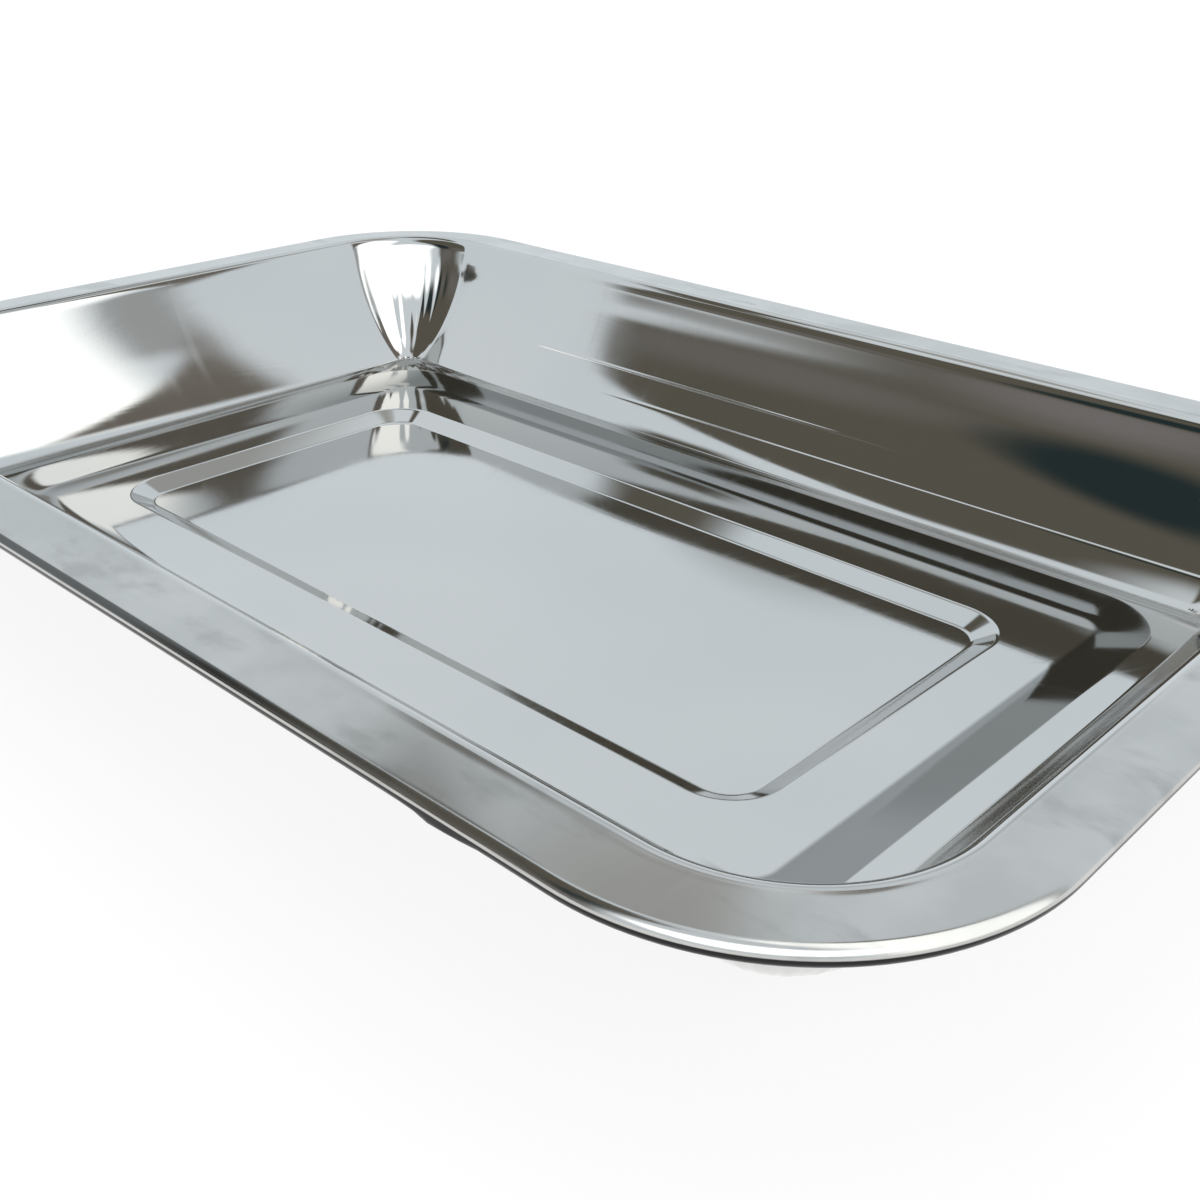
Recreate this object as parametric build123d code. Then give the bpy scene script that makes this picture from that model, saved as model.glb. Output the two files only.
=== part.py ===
"""Stainless steel developing tray: a sheet drawn in one piece, with its edge rolled round a steel wire.

Millimetres. +Z up, X along the tray. The origin is at the centre of the underside of the
sunken panel, which is the face that the tray stands on.
"""
import math
import os

from build123d import *

# Overall size
LENGTH = 400.0
WIDTH = 270.0
HEIGHT = 46.5
SHEET = 0.6

# Rolled edge: the sheet curls round a wire and its end tucks in under the rim
OUTER_CORNER_RADIUS = 54.0
CURL_RADIUS = 1.9
CURL_ANGLE = 290.0
WIRE_RADIUS = 1.2
WIRE_GAP = 1.2
WIRE_JOINT_X = 121.0

# Flat rim: its inner edge, where the sheet starts to bend down
RIM_WIDTH_SHORT_SIDES = 12.0
RIM_WIDTH_LONG_SIDES = 14.0
RIM_INNER_CORNER_RADIUS = 38.0

# Wall: steep below the rim, then one long curve down to a crease where the floor starts
WALL_SLOPE = 75.0
RIM_BEND_RADIUS = 5.0
WALL_CURVE_RADIUS = 55.0
CREASE_ANGLE = 32.0
CREASE_RADIUS = 2.5

# Floor: a margin by the wall, a gentle slope down to the floor, a short step down to the panel
MARGIN_INSET = 49.6
MARGIN_CORNER_RADIUS = 20.0
MARGIN_HEIGHT = 2.1
MARGIN_SLOPE_WIDTH = 11.5
MARGIN_BEND_RADIUS = 3.0
MARGIN_FOOT_RADIUS = 25.0
PANEL_INSET = 78.0
PANEL_CORNER_RADIUS = 15.0
PANEL_DEPTH = 3.0
PANEL_STEP_WIDTH = 6.0
PANEL_BEND_RADIUS = 2.5

# Heights of the sheet's upper surface
PANEL_TOP = SHEET
FLOOR_TOP = PANEL_TOP + PANEL_DEPTH
MARGIN_TOP = FLOOR_TOP + MARGIN_HEIGHT
RIM_TOP = HEIGHT

# Flat stretches left beside each bend, where two pieces of the sheet meet
FLAT_STUB = 0.5


def turned(vector, degrees):
    """A 2-D vector turned anticlockwise."""
    angle = math.radians(degrees)
    x, z = vector
    return (x * math.cos(angle) - z * math.sin(angle), x * math.sin(angle) + z * math.cos(angle))


class Profile:
    """A section through the sheet, drawn inwards (u) along its upper surface and given the sheet's
    thickness underneath. Heading 0 is level and inwards, and a negative heading goes down."""

    def __init__(self, u, z, heading=0.0):
        self.point = (u, z)
        self.heading = heading
        self.upper = []
        self.lower = []

    def under(self, point, heading):
        """The point of the lower surface below a point of the upper surface."""
        down = turned((0.0, -SHEET), heading)
        return (point[0] + down[0], point[1] + down[1])

    def run(self, length):
        """A straight stretch."""
        ahead = turned((length, 0.0), self.heading)
        end = (self.point[0] + ahead[0], self.point[1] + ahead[1])
        self.upper.append(("line", self.point, end))
        self.lower.append(("line", self.under(self.point, self.heading), self.under(end, self.heading)))
        self.point = end

    def bend(self, radius, turn):
        """A bend of the upper surface: a negative turn bends down, a positive turn bends up."""
        side = math.copysign(1.0, turn)
        to_centre = turned((0.0, side * radius), self.heading)
        centre = (self.point[0] + to_centre[0], self.point[1] + to_centre[1])

        def on_arc(part):
            heading = self.heading + turn * part
            out = turned((0.0, -side * radius), heading)
            return (centre[0] + out[0], centre[1] + out[1]), heading

        upper = [on_arc(part) for part in (0.0, 0.5, 1.0)]
        self.upper.append(("arc",) + tuple(point for point, _ in upper))
        self.lower.append(("arc",) + tuple(self.under(point, heading) for point, heading in upper))
        self.point, self.heading = upper[-1]

    def outline(self):
        """The closed outline: the upper surface forwards, then the lower surface back."""
        back = [(stretch[0],) + tuple(reversed(stretch[1:])) for stretch in reversed(self.lower)]
        first = self.upper[0][1]
        last = self.upper[-1][-1]
        end_cap = ("line", last, back[0][1])
        start_cap = ("line", back[-1][-1], first)
        return self.upper + [end_cap] + back + [start_cap]


def ring_from(outline, half_x, half_y, radius):
    """Take a section's outline round a rounded rectangle whose sides lie at half_x and half_y.
    In the outline, u counts inwards from the side of that rectangle."""

    def section(place):
        edges = []
        for kind, *points in outline:
            placed = [place(u, z) for u, z in points]
            edges.append(Line(*placed) if kind == "line" else ThreePointArc(*placed))
        return Face(Wire(edges))

    straight_x = half_x - radius
    straight_y = half_y - radius
    pieces = []
    for side in (1, -1):
        across_x = section(lambda u, z: (side * (half_x - u), -straight_y, z))
        pieces.append(extrude(across_x, amount=2 * straight_y, dir=(0, 1, 0)))
        across_y = section(lambda u, z: (-straight_x, side * (half_y - u), z))
        pieces.append(extrude(across_y, amount=2 * straight_x, dir=(1, 0, 0)))
    for number, (side_x, side_y) in enumerate(((1, 1), (-1, 1), (-1, -1), (1, -1))):
        centre = (side_x * straight_x, side_y * straight_y, 0)
        start = math.radians(90 * number)
        corner = section(lambda u, z: (
            centre[0] + (radius - u) * math.cos(start),
            centre[1] + (radius - u) * math.sin(start),
            z,
        ))
        pieces.append(revolve(corner, axis=Axis(centre, (0, 0, 1)), revolution_arc=90))
    return pieces


def plate(top, outer, inner=None):
    """A flat stretch of the sheet inside one rounded rectangle and outside another. Each is given
    as half_x, half_y, radius."""
    sketch = RectangleRounded(2 * outer[0], 2 * outer[1], outer[2])
    if inner is not None:
        sketch -= RectangleRounded(2 * inner[0], 2 * inner[1], inner[2])
    return extrude(Pos(0, 0, top - SHEET) * sketch, amount=SHEET)


def inset(rectangle, distance):
    """A rounded rectangle drawn in by a distance, about the same corner centres."""
    half_x, half_y, radius = rectangle
    return (half_x - distance, half_y - distance, radius - distance)


def bend_drop(radius, first_angle, last_angle):
    """How far a bend goes down between two slopes."""
    return radius * (math.cos(math.radians(first_angle)) - math.cos(math.radians(last_angle)))


def bend_run(radius, angle):
    """How far along each leg a bend of a given radius reaches from its corner."""
    return radius * math.tan(math.radians(angle) / 2)


OUTER_EDGE = (LENGTH / 2, WIDTH / 2, OUTER_CORNER_RADIUS)
RIM_INNER_EDGE = (
    LENGTH / 2 - RIM_WIDTH_SHORT_SIDES,
    WIDTH / 2 - RIM_WIDTH_LONG_SIDES,
    RIM_INNER_CORNER_RADIUS,
)
MARGIN_EDGE = (LENGTH / 2 - MARGIN_INSET, WIDTH / 2 - MARGIN_INSET, MARGIN_CORNER_RADIUS)
PANEL_EDGE = (LENGTH / 2 - PANEL_INSET, WIDTH / 2 - PANEL_INSET, PANEL_CORNER_RADIUS)


def step_profile(drop, width, top_radius, foot_radius, top):
    """A slope down between two level stretches, bent at its top and at its foot. Its edges lie at
    u = 0 and u = width, where the straight lines would cross."""
    angle = math.degrees(math.atan2(drop, width))
    profile = Profile(-bend_run(top_radius, angle) - FLAT_STUB, top)
    profile.run(FLAT_STUB)
    profile.bend(top_radius, -angle)
    profile.run(math.hypot(drop, width) - bend_run(top_radius, angle) - bend_run(foot_radius, angle))
    profile.bend(foot_radius, angle)
    profile.run(FLAT_STUB)
    return profile


def rolled_edge():
    """The curl along the outer edge, with a short stretch of the flat rim."""
    centre = (CURL_RADIUS, RIM_TOP - CURL_RADIUS)
    inner_radius = CURL_RADIUS - SHEET

    def on_curl(radius, degrees):
        return (
            centre[0] + radius * math.sin(math.radians(degrees)),
            centre[1] + radius * math.cos(math.radians(degrees)),
        )

    half_turn = -CURL_ANGLE / 2
    flat_end = CURL_RADIUS + FLAT_STUB
    outline = [
        ("line", (flat_end, RIM_TOP), on_curl(CURL_RADIUS, 0)),
        ("arc", on_curl(CURL_RADIUS, 0), on_curl(CURL_RADIUS, half_turn), on_curl(CURL_RADIUS, -CURL_ANGLE)),
        ("line", on_curl(CURL_RADIUS, -CURL_ANGLE), on_curl(inner_radius, -CURL_ANGLE)),
        ("arc", on_curl(inner_radius, -CURL_ANGLE), on_curl(inner_radius, half_turn), on_curl(inner_radius, 0)),
        ("line", on_curl(inner_radius, 0), (flat_end, RIM_TOP - SHEET)),
        ("line", (flat_end, RIM_TOP - SHEET), (flat_end, RIM_TOP)),
    ]
    return ring_from(outline, *OUTER_EDGE)


def wall():
    """The bend below the rim, the steep stretch, the long curve and the crease down to the floor's
    margin. Returns the ring and how far it reaches inwards from the rim's inner edge."""
    curve_turn = WALL_SLOPE - CREASE_ANGLE
    bends = ((RIM_BEND_RADIUS, 0.0, WALL_SLOPE), (WALL_CURVE_RADIUS, CREASE_ANGLE, WALL_SLOPE),
             (CREASE_RADIUS, 0.0, CREASE_ANGLE))
    bend_drops = sum(bend_drop(*bend) for bend in bends)
    steep_length = (RIM_TOP - MARGIN_TOP - bend_drops) / math.sin(math.radians(WALL_SLOPE))
    profile = Profile(-FLAT_STUB, RIM_TOP)
    profile.run(FLAT_STUB)
    profile.bend(RIM_BEND_RADIUS, -WALL_SLOPE)
    profile.run(steep_length)
    profile.bend(WALL_CURVE_RADIUS, curve_turn)
    profile.bend(CREASE_RADIUS, CREASE_ANGLE)
    profile.run(FLAT_STUB)
    return ring_from(profile.outline(), *RIM_INNER_EDGE), profile.point[0]


def tray_shell():
    """The whole sheet, from the curl to the panel, as one solid."""
    sides, wall_end = wall()
    slope = step_profile(
        MARGIN_HEIGHT, MARGIN_SLOPE_WIDTH, MARGIN_BEND_RADIUS, MARGIN_FOOT_RADIUS, MARGIN_TOP
    )
    step = step_profile(PANEL_DEPTH, PANEL_STEP_WIDTH, PANEL_BEND_RADIUS, PANEL_BEND_RADIUS, FLOOR_TOP)
    slope_start, slope_end = slope.upper[0][1][0], slope.point[0]
    step_start, step_end = step.upper[0][1][0], step.point[0]
    plates = [
        plate(RIM_TOP, inset(OUTER_EDGE, CURL_RADIUS + FLAT_STUB), inset(RIM_INNER_EDGE, -FLAT_STUB)),
        plate(MARGIN_TOP, inset(RIM_INNER_EDGE, wall_end), inset(MARGIN_EDGE, slope_start)),
        plate(FLOOR_TOP, inset(MARGIN_EDGE, slope_end), inset(PANEL_EDGE, step_start)),
        plate(PANEL_TOP, inset(PANEL_EDGE, step_end)),
    ]
    steps = ring_from(slope.outline(), *MARGIN_EDGE) + ring_from(step.outline(), *PANEL_EDGE)
    pieces = rolled_edge() + sides + steps + plates
    return pieces[0].fuse(*pieces[1:]).clean()


def rim_wire():
    """The stiffening wire inside the curl: one loop whose ends meet with a small gap."""
    half_x = LENGTH / 2 - CURL_RADIUS
    half_y = WIDTH / 2 - CURL_RADIUS
    radius = OUTER_CORNER_RADIUS - CURL_RADIUS
    height = RIM_TOP - CURL_RADIUS
    end_x = WIRE_JOINT_X + WIRE_GAP / 2
    start_x = WIRE_JOINT_X - WIRE_GAP / 2
    corners = ((1, -1), (1, 1), (-1, 1), (-1, -1))
    edges = []
    here = Vector(end_x, -half_y, height)
    for number, (side_x, side_y) in enumerate(corners):
        centre = Vector(side_x * (half_x - radius), side_y * (half_y - radius), height)
        angles = [math.radians(90 * number - 90 + 45 * part) for part in range(3)]
        points = [centre + Vector(radius * math.cos(a), radius * math.sin(a), 0) for a in angles]
        edges.append(Line(here, points[0]))
        edges.append(ThreePointArc(*points))
        here = points[2]
    edges.append(Line(here, Vector(start_x, -half_y, height)))
    path = Wire(edges)
    section = Plane(origin=(end_x, -half_y, height), z_dir=(1, 0, 0)) * Circle(WIRE_RADIUS)
    return sweep(section, path=path)


NODES = {
    "tray_shell": tray_shell,
    "rim_wire": rim_wire,
}

os.makedirs("parts", exist_ok=True)
for name, make in NODES.items():
    export_step(make(), f"parts/{name}.step")
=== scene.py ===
"""A bright stainless steel developing tray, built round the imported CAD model. Metres, +Z up."""
import math

import bpy
import numpy as np
from mathutils import Matrix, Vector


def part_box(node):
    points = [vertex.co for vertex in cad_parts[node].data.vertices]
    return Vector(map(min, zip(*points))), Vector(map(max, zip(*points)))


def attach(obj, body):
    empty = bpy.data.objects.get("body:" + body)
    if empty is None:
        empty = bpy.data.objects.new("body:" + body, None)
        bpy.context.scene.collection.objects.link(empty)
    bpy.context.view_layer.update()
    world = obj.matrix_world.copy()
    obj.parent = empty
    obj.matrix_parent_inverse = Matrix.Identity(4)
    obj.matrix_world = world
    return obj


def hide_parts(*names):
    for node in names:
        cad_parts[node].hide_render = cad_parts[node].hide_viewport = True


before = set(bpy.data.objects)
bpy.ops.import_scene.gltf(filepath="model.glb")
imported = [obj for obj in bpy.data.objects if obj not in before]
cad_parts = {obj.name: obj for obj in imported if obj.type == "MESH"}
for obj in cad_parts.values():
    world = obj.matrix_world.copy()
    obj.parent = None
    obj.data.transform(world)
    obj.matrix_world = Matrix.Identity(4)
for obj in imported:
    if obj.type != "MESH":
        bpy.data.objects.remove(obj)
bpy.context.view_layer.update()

MM = 0.001

# Shape of the sheet, in millimetres, as the CAD model has it
SHEET_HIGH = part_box("tray_shell")[1]
HALF_LENGTH = SHEET_HIGH[0] / MM
HALF_WIDTH = SHEET_HIGH[1] / MM
RIM_TOP = SHEET_HIGH[2] / MM
SHEET = 0.6
OUTER_CORNER_RADIUS = 54.0
CURL_RADIUS = 1.9
CURL_ANGLE = 290.0
RIM_WIDTH_SHORT_SIDES = 12.0
RIM_WIDTH_LONG_SIDES = 14.0
RIM_INNER_CORNER_RADIUS = 38.0
WALL_SLOPE = 75.0
RIM_BEND_RADIUS = 5.0
WALL_CURVE_RADIUS = 55.0
CREASE_ANGLE = 32.0
CREASE_RADIUS = 2.5
MARGIN_INSET = 49.6
MARGIN_CORNER_RADIUS = 20.0
MARGIN_HEIGHT = 2.1
MARGIN_SLOPE_WIDTH = 11.5
MARGIN_BEND_RADIUS = 3.0
MARGIN_FOOT_RADIUS = 25.0
PANEL_INSET = 78.0
PANEL_CORNER_RADIUS = 15.0
PANEL_DEPTH = 3.0
PANEL_STEP_WIDTH = 6.0
PANEL_BEND_RADIUS = 2.5
WIRE_JOINT_X = 121.0

PANEL_TOP = SHEET
FLOOR_TOP = PANEL_TOP + PANEL_DEPTH
MARGIN_TOP = FLOOR_TOP + MARGIN_HEIGHT
CREASE_TOP = MARGIN_TOP + CREASE_RADIUS * (1 - math.cos(math.radians(CREASE_ANGLE)))
CURVE_TOP = CREASE_TOP + WALL_CURVE_RADIUS * (
    math.cos(math.radians(CREASE_ANGLE)) - math.cos(math.radians(WALL_SLOPE))
)

# Small faults of a pressed and polished sheet, in millimetres and degrees
RIM_TILT = 2.0
RIM_WAVE = 0.05
SHOULDER_HEIGHT = 37.5
SHOULDER_DEPTH = 0.08
SHOULDER_WIDTH = 2.4
DRAW_LINE_HEADINGS = (52.5, 42.0)
DRAW_LINE_DEPTHS = (0.22, 0.13)
DRAW_LINE_WIDTH = 0.30
PUCKER_DEPTH = 0.16
PANEL_SWELL = 0.12
JOINT_LUMP = 0.55
DENT_DEPTH = 0.25
DENT_FROM_EDGE = 9.0
DENT_Y = -28.0

# The lump's parts: share of its height, place along the rim from the wire's joint, and width
LUMP_PARTS = ((1.0, 0.0, 3.2), (0.5, 5.5, 1.6), (-0.25, -4.6, 1.2))

# The corners' puckers: share of their depth, waves to a degree of turn, and start in radians
PUCKERS = ((1.0, 0.82, 0.3), (0.7, 0.47, 1.9), (0.4, 1.31, 0.0))

# The floor's headings below this one, in degrees, are on the margin's slope and not on the level
SLOPE_HEADING = -4.0

# How finely the sheet is divided
BEND_STEP = 3.0
CURVE_STEP = 0.8
WALL_STEP = 0.9
CORNER_STEPS = 36
LONG_SIDE_STEPS = 80
SHORT_SIDE_STEPS = 48
CURL_STEPS = 40


def edge(value, start, end):
    """A soft step: 0 at start and before, 1 at end and after. start may be the larger one."""
    part = np.clip((value - start) / (end - start), 0.0, 1.0)
    return part * part * (3.0 - 2.0 * part)


def hump(value, middle, width):
    """A soft hump of height 1."""
    return np.exp(-0.5 * ((value - middle) / width) ** 2)


def rectangle(inset_x, inset_y, radius):
    """A rounded rectangle: half length, half width and corner radius."""
    return np.array([HALF_LENGTH - inset_x, HALF_WIDTH - inset_y, radius])


OUTER_EDGE = rectangle(0.0, 0.0, OUTER_CORNER_RADIUS)
RIM_INNER_EDGE = rectangle(RIM_WIDTH_SHORT_SIDES, RIM_WIDTH_LONG_SIDES, RIM_INNER_CORNER_RADIUS)
MARGIN_EDGE = rectangle(MARGIN_INSET, MARGIN_INSET, MARGIN_CORNER_RADIUS)
PANEL_EDGE = rectangle(PANEL_INSET, PANEL_INSET, PANEL_CORNER_RADIUS)


def turn_headings(start, end, step=BEND_STEP):
    """Headings through a bend, evenly spaced."""
    return np.linspace(start, end, max(3, math.ceil(abs(end - start) / step)) + 1)


def curve_headings():
    """Headings through the wall's long curve, closer together across each draw line."""
    even = turn_headings(-WALL_SLOPE, -CREASE_ANGLE, CURVE_STEP)
    across = DRAW_LINE_WIDTH / WALL_CURVE_RADIUS * np.linspace(-3.0, 3.0, 13)
    lines = [np.degrees(across) - line for line in DRAW_LINE_HEADINGS]
    return np.sort(np.concatenate([even, *lines]))


class Section:
    """The section of the sheet's upper surface, from the curl's end inwards, as a list of rings.
    A ring is a rounded rectangle (half length, half width, radius), a height, the heading of the
    surface there, and the part of the tray that it belongs to. A heading of 0 is level and inwards,
    and a negative one goes down."""

    def __init__(self):
        self.rings = []
        self.part = "curl"

    def add(self, outline, inset, height, heading):
        self.rings.append((outline - inset, height, heading, self.part))

    def bend(self, outline, inset, height, radius, headings):
        """A bend that starts at an inset and a height, through a list of headings. Returns its end."""
        side = math.copysign(1.0, headings[-1] - headings[0])
        start = math.radians(headings[0])
        for heading in headings:
            now = math.radians(heading)
            along = inset + side * radius * (math.sin(now) - math.sin(start))
            up = height - side * radius * (math.cos(now) - math.cos(start))
            self.add(outline, along, up, heading)
        return along, up

    def level_run(self, start, end, height, step=6.0):
        """Level rings between two rounded rectangles, close together at both ends."""
        length = max(start[0] - end[0], start[1] - end[1])
        near = min(0.3, length / 4) / length
        inner = max(1, round(length / step))
        for number in range(inner + 1):
            part = near + (1 - 2 * near) * number / inner
            self.add(start + (end - start) * part, 0.0, height, 0.0)

    def step_down(self, outline, top, drop, width, top_radius, foot_radius):
        """A slope down between two level stretches. Returns the outline of its foot."""
        angle = math.degrees(math.atan2(drop, width))
        half_turn = math.tan(math.radians(angle) / 2)
        self.bend(outline, -top_radius * half_turn, top, top_radius, turn_headings(0.0, -angle))
        reach = foot_radius * half_turn
        foot = width - reach * math.cos(math.radians(angle))
        foot_height = top - drop + reach * math.sin(math.radians(angle))
        self.bend(outline, foot, foot_height, foot_radius, turn_headings(-angle, 0.0))
        return outline - (width + reach)


def sheet_section():
    """Every ring of the sheet's upper surface, from the curl's hidden end to the panel's middle."""
    section = Section()
    for number in range(CURL_STEPS + 1):
        turned = math.radians(-CURL_ANGLE * (1 - number / CURL_STEPS))
        inset = CURL_RADIUS + CURL_RADIUS * math.sin(turned)
        height = RIM_TOP - CURL_RADIUS + CURL_RADIUS * math.cos(turned)
        section.add(OUTER_EDGE, inset, height, -math.degrees(turned))
    section.part = "rim"
    section.level_run(OUTER_EDGE - CURL_RADIUS, RIM_INNER_EDGE, RIM_TOP, 1.5)
    section.part = "wall"
    inset, height = section.bend(
        RIM_INNER_EDGE, 0.0, RIM_TOP, RIM_BEND_RADIUS, turn_headings(0.0, -WALL_SLOPE)
    )
    slope = math.radians(WALL_SLOPE)
    drop = height - CURVE_TOP
    steps = round(drop / WALL_STEP)
    for number in range(1, steps):
        down = drop * number / steps
        section.add(RIM_INNER_EDGE, inset + down / math.tan(slope), height - down, -WALL_SLOPE)
    inset, height = section.bend(
        RIM_INNER_EDGE, inset + drop / math.tan(slope), CURVE_TOP, WALL_CURVE_RADIUS, curve_headings()
    )
    section.part = "crease"
    inset, height = section.bend(
        RIM_INNER_EDGE, inset, height, CREASE_RADIUS, turn_headings(-CREASE_ANGLE, 0.0)
    )
    section.part = "floor"
    margin_angle = math.atan2(MARGIN_HEIGHT, MARGIN_SLOPE_WIDTH)
    margin_start = MARGIN_EDGE + MARGIN_BEND_RADIUS * math.tan(margin_angle / 2)
    section.level_run(RIM_INNER_EDGE - inset, margin_start, MARGIN_TOP)
    floor_start = section.step_down(
        MARGIN_EDGE, MARGIN_TOP, MARGIN_HEIGHT, MARGIN_SLOPE_WIDTH, MARGIN_BEND_RADIUS, MARGIN_FOOT_RADIUS
    )
    panel_angle = math.atan2(PANEL_DEPTH, PANEL_STEP_WIDTH)
    panel_start = PANEL_EDGE + PANEL_BEND_RADIUS * math.tan(panel_angle / 2)
    section.level_run(floor_start, panel_start, FLOOR_TOP)
    panel_flat = section.step_down(
        PANEL_EDGE, FLOOR_TOP, PANEL_DEPTH, PANEL_STEP_WIDTH, PANEL_BEND_RADIUS, PANEL_BEND_RADIUS
    )
    section.part = "panel"
    for part in (0.01, 0.06, 0.16, 0.28, 0.4, 0.52, 0.64, 0.76, 0.88, 1.0):
        outline = panel_flat - panel_flat[1] * part
        outline[2] = panel_flat[2] * (1 - part)
        section.add(outline, 0.0, PANEL_TOP, 0.0)
    return section.rings


def section_marks():
    """How far along the section two places are: the rim's inner edge and the margin's slope."""
    rings = sheet_section()
    spots = np.array([(outline[1], height) for outline, height, _, _ in rings])
    ways = np.concatenate([[0.0], np.cumsum(np.linalg.norm(np.diff(spots, axis=0), axis=1))])
    parts = [part for _, _, _, part in rings]
    rim_end = len(parts) - 1 - parts[::-1].index("rim")
    sloping = [heading < SLOPE_HEADING and part == "floor" for _, _, heading, part in rings]
    return ways[rim_end], ways[sloping.index(True)]


def curl_way(heading):
    """How far along the section the curl has a heading."""
    return CURL_RADIUS * math.radians(CURL_ANGLE - heading)


def ring_points(outline):
    """Points of a rounded rectangle, anticlockwise from the foot of its right side."""
    half_x, half_y, radius = outline
    straight_x, straight_y = half_x - radius, half_y - radius
    sides = (
        ((half_x, -straight_y), (half_x, straight_y), (straight_x, straight_y), 0, SHORT_SIDE_STEPS),
        ((straight_x, half_y), (-straight_x, half_y), (-straight_x, straight_y), 90, LONG_SIDE_STEPS),
        ((-half_x, straight_y), (-half_x, -straight_y), (-straight_x, -straight_y), 180, SHORT_SIDE_STEPS),
        ((-straight_x, -half_y), (straight_x, -half_y), (straight_x, -straight_y), 270, LONG_SIDE_STEPS),
    )
    points = []
    for start, end, centre, first_angle, steps in sides:
        part = np.arange(steps)[:, None] / steps
        points.append(np.array(start) + (np.array(end) - np.array(start)) * part)
        angle = np.radians(first_angle + 90.0 * np.arange(CORNER_STEPS) / CORNER_STEPS)[:, None]
        points.append(np.array(centre) + radius * np.hstack([np.cos(angle), np.sin(angle)]))
    return np.vstack(points)


def ring_turns():
    """For each of ring_points, the direction that it faces in degrees, and how far it is into a corner:
    0 on the straight sides and 1 in a corner's middle."""
    turns, depths = [], []
    for number, steps in enumerate((SHORT_SIDE_STEPS, LONG_SIDE_STEPS) * 2):
        turns.append(np.full(steps, 90.0 * number))
        depths.append(np.zeros(steps))
        part = np.arange(CORNER_STEPS) / CORNER_STEPS
        turns.append(90.0 * number + 90.0 * part)
        depths.append(np.sin(np.pi * part))
    return np.concatenate(turns), np.concatenate(depths)


RING_TURN, CORNER_DEPTH = ring_turns()
RING_OUT = np.stack([np.cos(np.radians(RING_TURN)), np.sin(np.radians(RING_TURN))], -1)


def rim_sag(points):
    """How far the rim lies below its full height: it falls a little to the outside and waves."""
    core = RIM_INNER_EDGE[:2] - RIM_INNER_EDGE[2]
    outside = np.linalg.norm(points - np.clip(points, -core, core), axis=1) - RIM_INNER_EDGE[2]
    x, y = points.T
    wave = 1 + 0.6 * np.sin(x / 31.0 + 0.4) * np.cos(y / 23.0 + 1.1) + 0.4 * np.sin(x / 13.0 - y / 17.0)
    droop = np.clip(outside, 0.0, 20.0) * math.tan(math.radians(RIM_TILT))
    return droop + RIM_WAVE * np.maximum(wave, 0.0)


def joint_lump(points, heading):
    """The swelling of the curl where the ends of its wire meet, on the near long side."""
    near_side = (points[:, 1] < 0) & (CORNER_DEPTH == 0)
    under = edge(heading, 40.0, 110.0)
    along = points[:, 0] - WIRE_JOINT_X
    knot = sum(share * hump(along, middle, width) for share, middle, width in LUMP_PARTS)
    return JOINT_LUMP * knot * under * near_side


def wall_relief(points, height):
    """How far the wall stands out of its plain shape, towards the tray's inside."""
    x, y = points.T
    up = (height - MARGIN_TOP) / (RIM_TOP - RIM_BEND_RADIUS - MARGIN_TOP)
    middle = edge(up, 0.0, 0.4) * edge(up, 1.0, 0.8)
    fade = 1 - 0.4 * np.sin(x / 41.0 + y / 67.0) ** 2
    ripple = sum(share * np.sin(RING_TURN * rate + start) for share, rate, start in PUCKERS)
    shoulder = SHOULDER_DEPTH * hump(height, SHOULDER_HEIGHT, SHOULDER_WIDTH)
    return (shoulder * fade + PUCKER_DEPTH * ripple * CORNER_DEPTH) * middle


def draw_lines(points, heading):
    """Fine raised lines that the pressing dies leave along the curve of the long walls. The upper one
    fades out to the right and the lower one to the left."""
    x = points[:, 0]
    long_sides = edge(np.abs(np.sin(np.radians(RING_TURN))), 0.985, 1.0)
    fades = (edge(x, -114.0, -98.0) * edge(x, 110.0, -10.0), edge(x, -120.0, 40.0))
    relief = 0.0
    for line, depth, fade in zip(DRAW_LINE_HEADINGS, DRAW_LINE_DEPTHS, fades):
        away = math.radians(-heading - line) * WALL_CURVE_RADIUS
        relief = relief + depth * hump(away, 0.0, DRAW_LINE_WIDTH) * fade
    return relief * long_sides


def floor_swell(points, height):
    """The thin floor isn't quite flat: it swells by up to a third of a millimetre in places."""
    x, y = points.T
    inner = edge(np.abs(x), 150.0, 60.0) * edge(np.abs(y), 85.0, 25.0)
    wave = np.sin(x / 37.0 + 0.7) * np.cos(y / 29.0 - 0.5) + 0.5 * np.sin(x / 21.0 - y / 33.0 + 2.0)
    return PANEL_SWELL * (1.5 + wave) * inner * (height < MARGIN_TOP)


def rim_dent(points):
    """A shallow dent in the rim beside the right wall."""
    x, y = points.T
    return DENT_DEPTH * hump(x, HALF_LENGTH - DENT_FROM_EDGE, 2.4) * hump(y, DENT_Y, 3.0)


def skin(rings):
    """The upper and the lower surface as stacks of rings, and how far along the section each ring is."""
    upper, lower, ways = [], [], []
    way = 0.0
    before = None
    for outline, height, heading, part in rings:
        across, up = math.sin(math.radians(heading)), math.cos(math.radians(heading))
        points = ring_points(outline)
        normal = np.hstack([RING_OUT * across, np.full((len(points), 1), up)])
        place = np.hstack([points, np.full((len(points), 1), height)])
        if part == "curl":
            place += normal * joint_lump(points, heading)[:, None]
            place[:, 1] = np.maximum(place[:, 1], -HALF_WIDTH)
        if part in ("curl", "rim"):
            place[:, 2] -= rim_sag(points) + rim_dent(points)
        if part == "wall":
            place += normal * (wall_relief(points, height) + draw_lines(points, heading))[:, None]
        if part in ("floor", "panel"):
            place[:, 2] += floor_swell(points, height)
        upper.append(place)
        lower.append(place - normal * SHEET)
        here = np.array([outline[1], height])
        way += 0.0 if before is None else float(np.linalg.norm(here - before))
        before = here
        ways.append(way)
    return np.array(upper), np.array(lower), np.array(ways)


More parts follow.
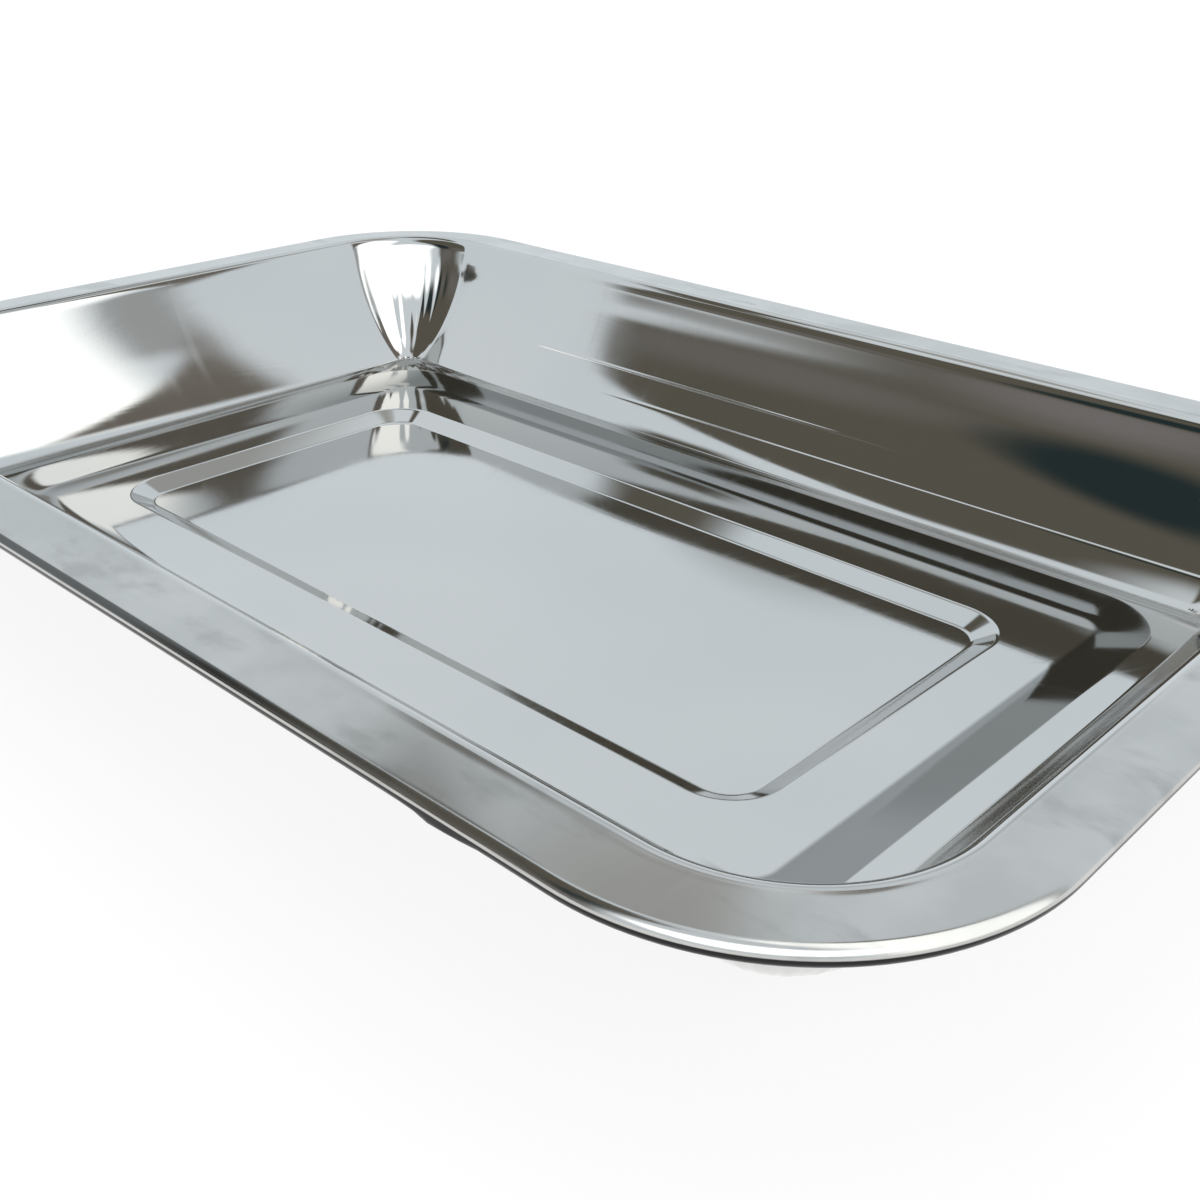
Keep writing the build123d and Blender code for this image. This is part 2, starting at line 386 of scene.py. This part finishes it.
def merged(vertices, faces, spots):
    """The same faces with points that lie together made one, and without faces that lose their area."""
    places, index = np.unique(np.round(vertices, 5), axis=0, return_inverse=True)
    index = index.reshape(-1)
    kept, kept_spots = [], []
    for face, face_spots in zip(faces, spots):
        corners, corner_spots = [], []
        for corner, spot in zip(index[face], face_spots):
            if corner not in corners:
                corners.append(int(corner))
                corner_spots.append(spot)
        if len(corners) > 2:
            kept.append(corners)
            kept_spots += corner_spots
    return places, kept, kept_spots


def sheet_mesh():
    """The closed skin of the sheet, and a flat map of it: the way round the tray and the way across."""
    upper, lower, ways = skin(sheet_section())
    layers, count = upper.shape[:2]
    vertices = np.vstack([upper.reshape(-1, 3), lower.reshape(-1, 3)])
    outer = ring_points(OUTER_EDGE)
    gaps = np.linalg.norm(np.roll(outer, -1, axis=0) - outer, axis=1)
    round_way = np.concatenate([[0.0], np.cumsum(gaps)])
    faces, spots = [], []
    under = layers * count
    for layer in range(layers - 1):
        here, there = layer * count, (layer + 1) * count
        for k in range(count):
            after = (k + 1) % count
            near_left, near_right = (round_way[k], ways[layer]), (round_way[k + 1], ways[layer])
            far_left, far_right = (round_way[k], ways[layer + 1]), (round_way[k + 1], ways[layer + 1])
            faces.append([here + k, here + after, there + after, there + k])
            spots.append([near_left, near_right, far_right, far_left])
            below, below_in = under + here, under + there
            faces.append([below_in + k, below_in + after, below + after, below + k])
            spots.append([far_left, far_right, near_right, near_left])
    for k in range(count):
        after = (k + 1) % count
        faces.append([k, under + k, under + after, after])
        spots.append([(round_way[k], 0.0)] * 4)
    return merged(vertices, faces, spots)


def make_object(name, vertices, faces, spots):
    mesh = bpy.data.meshes.new(name)
    mesh.from_pydata((vertices * MM).tolist(), [], faces)
    layer = mesh.uv_layers.new(name="sheet_map")
    layer.data.foreach_set("uv", (np.array(spots) * MM).reshape(-1))
    mesh.update()
    mesh.polygons.foreach_set("use_smooth", [True] * len(mesh.polygons))
    piece = bpy.data.objects.new(name, mesh)
    bpy.context.scene.collection.objects.link(piece)
    return piece


tray = make_object("tray_sheet", *sheet_mesh())
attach(tray, "root")
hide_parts("tray_shell")


# Camera: stands off the tray's near right corner and looks down along the floor
CAMERA_PLACE = (0.2582, -0.24405, 0.16955)
CAMERA_YAW, CAMERA_PITCH, CAMERA_ROLL = -43.13, 27.03, -0.53
CAMERA_LENS = 41.95


def camera():
    data = bpy.data.cameras.new("camera")
    data.sensor_width = 36.0
    data.lens = CAMERA_LENS
    piece = bpy.data.objects.new("camera", data)
    bpy.context.scene.collection.objects.link(piece)
    yaw, pitch, roll = (math.radians(angle) for angle in (CAMERA_YAW, CAMERA_PITCH, CAMERA_ROLL))
    ahead = np.array([math.sin(yaw) * math.cos(pitch), math.cos(yaw) * math.cos(pitch), -math.sin(pitch)])
    right = np.array([math.cos(yaw), -math.sin(yaw), 0.0])
    down = np.cross(ahead, right)
    right, down = (
        math.cos(roll) * right + math.sin(roll) * down,
        math.cos(roll) * down - math.sin(roll) * right,
    )
    turn = Matrix(np.array([right, -down, -ahead]).T.tolist())
    piece.matrix_world = Matrix.Translation(CAMERA_PLACE) @ turn.to_4x4()
    bpy.context.scene.camera = piece


camera()


class Nodes:
    """A short way to write a material's node tree."""

    def __init__(self, name):
        self.material = bpy.data.materials.new(name)
        self.material.use_nodes = True
        self.tree = self.material.node_tree
        self.shader = self.tree.nodes["Principled BSDF"]

    def add(self, kind, inputs=None, **settings):
        """A node with its settings. An input's value is a number, a colour or another node's output."""
        node = self.tree.nodes.new("ShaderNode" + kind)
        for name, value in settings.items():
            setattr(node, name, value)
        for name, value in (inputs or {}).items():
            self.set(node, name, value)
        return node

    def set(self, node, name, value):
        if isinstance(value, bpy.types.NodeSocket):
            self.tree.links.new(value, node.inputs[name])
        else:
            node.inputs[name].default_value = value

    def math(self, operation, first, second):
        return self.add("Math", {0: first, 1: second}, operation=operation).outputs[0]

    def ramp(self, value, start, end, low=0.0, high=1.0):
        """Value brought from start..end to low..high, with soft ends."""
        inputs = {"Value": value, "From Min": start, "From Max": end, "To Min": low, "To Max": high}
        return self.add("MapRange", inputs, interpolation_type="SMOOTHSTEP").outputs[0]

    def noise(self, place, scale, detail=3.0, stretch=(1.0, 1.0, 1.0)):
        """Noise with a number of cells to the metre. A small stretch on an axis draws it out there."""
        placed = self.add("Mapping", {"Vector": place, "Scale": stretch}).outputs[0]
        return self.add("TexNoise", {"Vector": placed, "Scale": scale, "Detail": detail}).outputs[0]

    def mix(self, part, first, second):
        node = self.add("Mix", data_type="RGBA")
        self.set(node, 0, part)
        self.set(node, 6, first)
        self.set(node, 7, second)
        return node.outputs[2]

    def blend(self, part, first, second):
        """The same for plain numbers."""
        node = self.add("Mix", data_type="FLOAT")
        self.set(node, 0, part)
        self.set(node, 2, first)
        self.set(node, 3, second)
        return node.outputs[0]


RIM_END, SLOPE_START = section_marks()

# Steel colours. Where there are two, the metal varies between them. The last three are not the steel's own
# colour: painted darker reflections on the margin's slope and the rolled edge, and painted shade under the
# roll
MIRROR_STEEL = ((0.585, 0.59, 0.585, 1.0), (0.625, 0.62, 0.605, 1.0))
RIM_STEEL = ((0.50, 0.50, 0.485, 1.0), (0.58, 0.575, 0.56, 1.0))
WIRE_STEEL = ((0.42, 0.42, 0.41, 1.0), (0.52, 0.52, 0.51, 1.0))
SCUFF = (0.43, 0.43, 0.415, 1.0)
# Painted darker reflection on the margin's slope
SLOPE_PAINTED_REFLECTION = (0.28, 0.285, 0.28, 1.0)
# Painted dark reflection along the side of the rolled edge
ROLL_PAINTED_REFLECTION = (0.12, 0.12, 0.115, 1.0)
# Painted shade: the sheet under the roll, nearly black all round
PAINTED_SHADE_UNDER_ROLL = (0.03, 0.03, 0.03, 1.0)


def roll_painted_reflection(n, across, x):
    """A painted dark reflection: a band along the side of the rolled edge, darkened in the base colour,
    which ends towards the tray's right.
    """
    top = n.ramp(across, curl_way(12.0) * MM, curl_way(22.0) * MM)
    side = n.ramp(across, curl_way(70.0) * MM, curl_way(62.0) * MM)
    return n.math("MULTIPLY", n.math("MULTIPLY", top, side), n.ramp(x, 0.12, 0.06))


def slope_painted_reflection(n, across, x, y):
    """Where the margin's slope gets a painted darker reflection in its base colour: on its right and far
    sides.
    """
    end = SLOPE_START + MARGIN_SLOPE_WIDTH + 1.0
    top = n.ramp(across, SLOPE_START * MM, (SLOPE_START + 0.6) * MM)
    foot = n.ramp(across, (end + 1.5) * MM, end * MM)
    right_end = n.ramp(n.math("ADD", x, y), 0.050, 0.062)
    not_near = n.math("MAXIMUM", right_end, n.ramp(y, 0.0, 0.05))
    not_left = n.ramp(x, -0.150, -0.135)
    return n.math("MULTIPLY", n.math("MULTIPLY", top, foot), n.math("MULTIPLY", not_left, not_near))


def polished_steel():
    """Bright rolled stainless steel: near mirror inside, more satin on the rim, lightly used. Its base
    colour also holds painted dark reflections on the margin's slope and the rolled edge, and painted shade
    under the roll.
    """
    n = Nodes("polished_steel")
    where = n.add("TexCoord").outputs["Object"]
    x, y = n.add("SeparateXYZ", {0: where}).outputs[:2]
    sheet_map = n.add("UVMap", uv_map="sheet_map").outputs[0]
    across = n.add("SeparateXYZ", {0: sheet_map}).outputs[1]
    rim = n.ramp(across, (RIM_END + 2.5) * MM, (RIM_END + 0.5) * MM)
    # Painted shade: the roll's lower side and underside are made nearly black all round
    painted_shade_under_roll = n.ramp(across, curl_way(80.0) * MM, curl_way(86.0) * MM)

    smudge = n.noise(where, 22.0, 4.0)
    wiped = n.noise(where, 45.0, 3.0)
    scuff = n.noise(where, 75.0, 5.0, (0.5, 1.0, 1.0))
    cloud = n.noise(where, 7.0, 2.0)
    grain = n.noise(where, 900.0, 2.0, (0.03, 1.0, 1.0))
    rim_grain = n.noise(sheet_map, 1500.0, 2.0, (0.02, 1.0, 1.0))
    streak = n.noise(sheet_map, 260.0, 2.0, (1.0, 0.02, 1.0))

    bright = n.mix(n.ramp(cloud, 0.35, 0.65), *MIRROR_STEEL)
    worn = n.mix(n.ramp(wiped, 0.3, 0.7), *RIM_STEEL)
    scuffed = n.mix(n.ramp(scuff, 0.57, 0.72), worn, SCUFF)
    # The margin's slope gets a painted darker reflection here
    bright_and_slope_reflection = n.mix(slope_painted_reflection(n, across, x, y), bright, SLOPE_PAINTED_REFLECTION)
    # The side of the rolled edge gets a painted dark reflection here
    steel = n.mix(roll_painted_reflection(n, across, x), n.mix(rim, bright_and_slope_reflection, scuffed), ROLL_PAINTED_REFLECTION)
    # The painted shade under the roll goes into the base colour here
    n.set(n.shader, "Base Color", n.mix(painted_shade_under_roll, steel, PAINTED_SHADE_UNDER_ROLL))

    haze = n.ramp(smudge, 0.45, 0.75, 0.045, 0.085)
    satin = n.ramp(wiped, 0.3, 0.7, 0.19, 0.14)
    streaks = n.ramp(streak, 0.5, 0.8, 0.0, 0.03)
    n.set(n.shader, "Roughness", n.math("ADD", n.blend(rim, haze, satin), streaks))

    n.shader.inputs["Metallic"].default_value = 1.0
    lines = n.blend(rim, grain, rim_grain)
    bump = n.add("Bump", {"Strength": 0.05, "Distance": 0.00002, "Height": lines})
    n.set(n.shader, "Normal", bump.outputs[0])
    return n.material


def wire_steel():
    """Drawn wire: duller, with fine patches."""
    n = Nodes("wire_steel")
    where = n.add("TexCoord").outputs["Object"]
    patches = n.noise(where, 60.0, 3.0)
    fine = n.noise(where, 1200.0, 2.0)
    n.set(n.shader, "Base Color", n.mix(n.ramp(patches, 0.3, 0.7), *WIRE_STEEL))
    n.set(n.shader, "Roughness", n.ramp(fine, 0.3, 0.7, 0.3, 0.42))
    n.shader.inputs["Metallic"].default_value = 1.0
    bump = n.add("Bump", {"Strength": 0.2, "Distance": 0.00003, "Height": fine})
    n.set(n.shader, "Normal", bump.outputs[0])
    return n.material


tray.data.materials.append(polished_steel())
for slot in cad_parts["rim_wire"].material_slots:
    slot.material = wire_steel()


# The studio: a plain pale floor, and a dome of soft light with dark stretches that the steel mirrors.
# Lengths are in metres here, and the dome's steps in degrees
FLOOR_REACH = 6.0
FLOOR_GLOW = 0.78
DOME_RADIUS = 1.2
DOME_STEP = 1.0
DOME_LOWEST = -4.0


def stage_piece(name, vertices, faces, material):
    mesh = bpy.data.meshes.new(name)
    mesh.from_pydata(vertices, [], faces)
    mesh.materials.append(material)
    piece = bpy.data.objects.new(name, mesh)
    bpy.context.scene.collection.objects.link(piece)
    return piece


def floor():
    reach = FLOOR_REACH
    corners = [(-reach, -reach, 0), (reach, -reach, 0), (reach, reach, 0), (-reach, reach, 0)]
    material = bpy.data.materials.new("floor")
    material.use_nodes = True
    shader = material.node_tree.nodes["Principled BSDF"]
    shader.inputs["Base Color"].default_value = (0.25, 0.25, 0.25, 1.0)
    shader.inputs["Emission Color"].default_value = (1.0, 1.0, 1.0, 1.0)
    shader.inputs["Emission Strength"].default_value = FLOOR_GLOW
    shader.inputs["Roughness"].default_value = 0.9
    stage_piece("floor", corners, [(0, 1, 2, 3)], material)


# The studio's colours, as red, green and blue light
PALE = (0.86, 0.93, 0.98)
BROWN_DARK = (0.135, 0.125, 0.10)
DUSK_GREY = (0.24, 0.225, 0.225)
NIGHT = (0.025, 0.04, 0.042)
WINDOW = (1.9, 1.93, 1.9)
BROWN_GREY = (0.20, 0.18, 0.155)
CEILING_GREY = (0.46, 0.465, 0.45)
HORIZON_GREY = (0.63, 0.68, 0.70)
KEY = (2.6, 2.6, 2.6)


class Sky:
    """The studio's light in a list of directions from the tray, painted area by area. Angles are in
    degrees. Azimuth is 0 towards +Y and 90 towards +X. off_left and off_back are angles from the
    directions of -X and of +Y, along which the long and the short walls mirror the studio's edges."""

    def __init__(self, direction):
        x, y, z = direction.T
        self.azimuth = np.degrees(np.arctan2(x, y))
        self.elevation = np.degrees(np.arcsin(z))
        self.off_left = np.degrees(np.arccos(-x))
        self.off_back = np.degrees(np.arccos(y))
        self.light = np.tile(PALE, (len(direction), 1))
        self.ceiling_ahead()
        self.right_side()
        self.left_side()
        self.low_ahead_and_behind()

    def paint(self, colour, cover):
        self.light += (np.array(colour) - self.light) * cover[:, None]

    def blob(self, azimuth, elevation, half_width, half_height):
        """Distance from a place, 1 at the edge of an ellipse."""
        across = (self.azimuth - azimuth) / half_width
        return np.hypot(across, (self.elevation - elevation) / half_height)

    def ceiling_ahead(self):
        """A grey ceiling, which dulls the rim's near corner, and a dark stretch above the far wall."""
        ahead = edge(self.azimuth, -56.0, -46.0) * edge(self.azimuth, -26.0, -34.0)
        ceiling = edge(self.elevation, 43.0, 48.0) * edge(self.elevation, 70.0, 62.0)
        self.paint(CEILING_GREY, ahead * ceiling)
        low = np.maximum(38.0 + 0.4 * (self.azimuth + 57.0), 34.0)
        rise = edge(self.elevation, low, low + 3.0) * edge(self.elevation, 57.0, 54.0)
        turn = edge(self.azimuth, -88.0, -83.0) * edge(self.azimuth, -50.0, -58.0)
        self.paint(BROWN_DARK, edge(self.off_left, 49.5, 51.5) * turn * rise)

    def right_side(self):
        """A bright window with a duller frame and a dark finger, all mirrored in the left wall."""
        side = edge(self.azimuth, -22.0, -12.0) * edge(self.azimuth, 120.0, 100.0)
        self.paint(WINDOW, side * edge(self.off_back, 61.0, 65.0))
        frame_ring = edge(self.off_back, 56.5, 58.0) * edge(self.off_back, 63.0, 61.0) * side
        self.paint(BROWN_GREY, frame_ring * 0.6 * edge(self.elevation, 50.0, 40.0))
        finger_end = 48.0 - 5.5 * (self.off_back - 58.0)
        finger = edge(self.azimuth, finger_end + 6.0, finger_end - 2.0) * edge(self.azimuth, -20.0, -13.0)
        finger_sides = edge(self.off_back, 56.5, 58.5) * edge(self.off_back, 80.0, 74.0)
        self.paint(BROWN_GREY, finger * finger_sides)

    def left_side(self):
        """The dark side of the room, which fills the far wall, with lighter, black and pale stretches."""
        low = np.clip(self.azimuth + 114.0, 0.0, 30.0)
        high = np.clip(-114.0 - self.azimuth, 0.0, 20.0)
        start = 45.2 + 0.25 * low + 0.0135 * low**2 - 0.13 * high
        turn = edge(self.azimuth, -81.0, -87.0) * edge(self.azimuth, -176.0, -168.0)
        dark = turn * edge(self.off_left, start, start + 1.5) * edge(self.elevation, 82.0, 74.0)
        self.paint(BROWN_DARK, dark)
        self.paint(DUSK_GREY, 0.5 * edge(self.blob(-139.0, 24.0, 14.0, 9.0), 1.5, 0.3) * dark)
        self.paint(DUSK_GREY, edge(self.blob(-162.0, 8.0, 12.0, 9.0), 1.5, 0.4) * dark)
        self.paint(NIGHT, edge(self.blob(-161.0, 39.0, 10.0, 17.0), 1.3, 0.6))
        turn = edge(self.azimuth, -152.0, -132.0) * edge(self.azimuth, -118.0, -126.0)
        self.paint(PALE, hump(self.elevation, 12.5, 1.3) * turn)

    def low_ahead_and_behind(self):
        """A greyer stretch low ahead, in the margin's right slope, and the strong light behind, in the
        rolled edge."""
        self.paint(HORIZON_GREY, edge(self.blob(-29.0, 22.0, 9.0, 5.0), 1.2, 0.7))
        behind = np.hypot((np.mod(self.azimuth, 360.0) - 140.0) / 40.0, (self.elevation - 32.0) / 20.0)
        self.paint(KEY, edge(behind, 1.2, 0.8))


def studio_dome():
    """A dome round the tray, seen only in reflections. The camera sees the plain world."""
    azimuths = np.radians(np.arange(0.0, 360.0, DOME_STEP))
    elevations = np.radians(np.arange(DOME_LOWEST, 90.0 + DOME_STEP, DOME_STEP))
    turn, rise = np.meshgrid(azimuths, elevations)
    direction = np.stack([np.sin(turn) * np.cos(rise), np.cos(turn) * np.cos(rise), np.sin(rise)], -1)
    direction = direction.reshape(-1, 3)
    count = len(azimuths)
    faces = []
    for row in range(len(elevations) - 1):
        for column in range(count):
            low, low_after = row * count + column, row * count + (column + 1) % count
            faces.append([low, low_after, low_after + count, low + count])
    material = bpy.data.materials.new("studio_dome")
    material.use_nodes = True
    material.cycles.emission_sampling = "NONE"
    nodes, links = material.node_tree.nodes, material.node_tree.links
    nodes.clear()
    attribute = nodes.new("ShaderNodeAttribute")
    attribute.attribute_name = "light"
    glow = nodes.new("ShaderNodeEmission")
    output = nodes.new("ShaderNodeOutputMaterial")
    links.new(attribute.outputs["Color"], glow.inputs["Color"])
    links.new(glow.outputs[0], output.inputs["Surface"])
    piece = stage_piece("studio_dome", (direction * DOME_RADIUS).tolist(), faces, material)
    colours = piece.data.attributes.new("light", "FLOAT_COLOR", "POINT")
    light = np.hstack([Sky(direction).light, np.ones((len(direction), 1))])
    colours.data.foreach_set("color", light.reshape(-1))
    piece.visible_camera = piece.visible_diffuse = piece.visible_shadow = False


def studio_world():
    world = bpy.data.worlds.new("studio")
    bpy.context.scene.world = world
    world.use_nodes = True
    world.node_tree.nodes["Background"].inputs["Color"].default_value = (0.97, 0.975, 0.98, 1.0)
    bpy.context.scene.view_settings.view_transform = "Standard"


floor()
studio_dome()
studio_world()
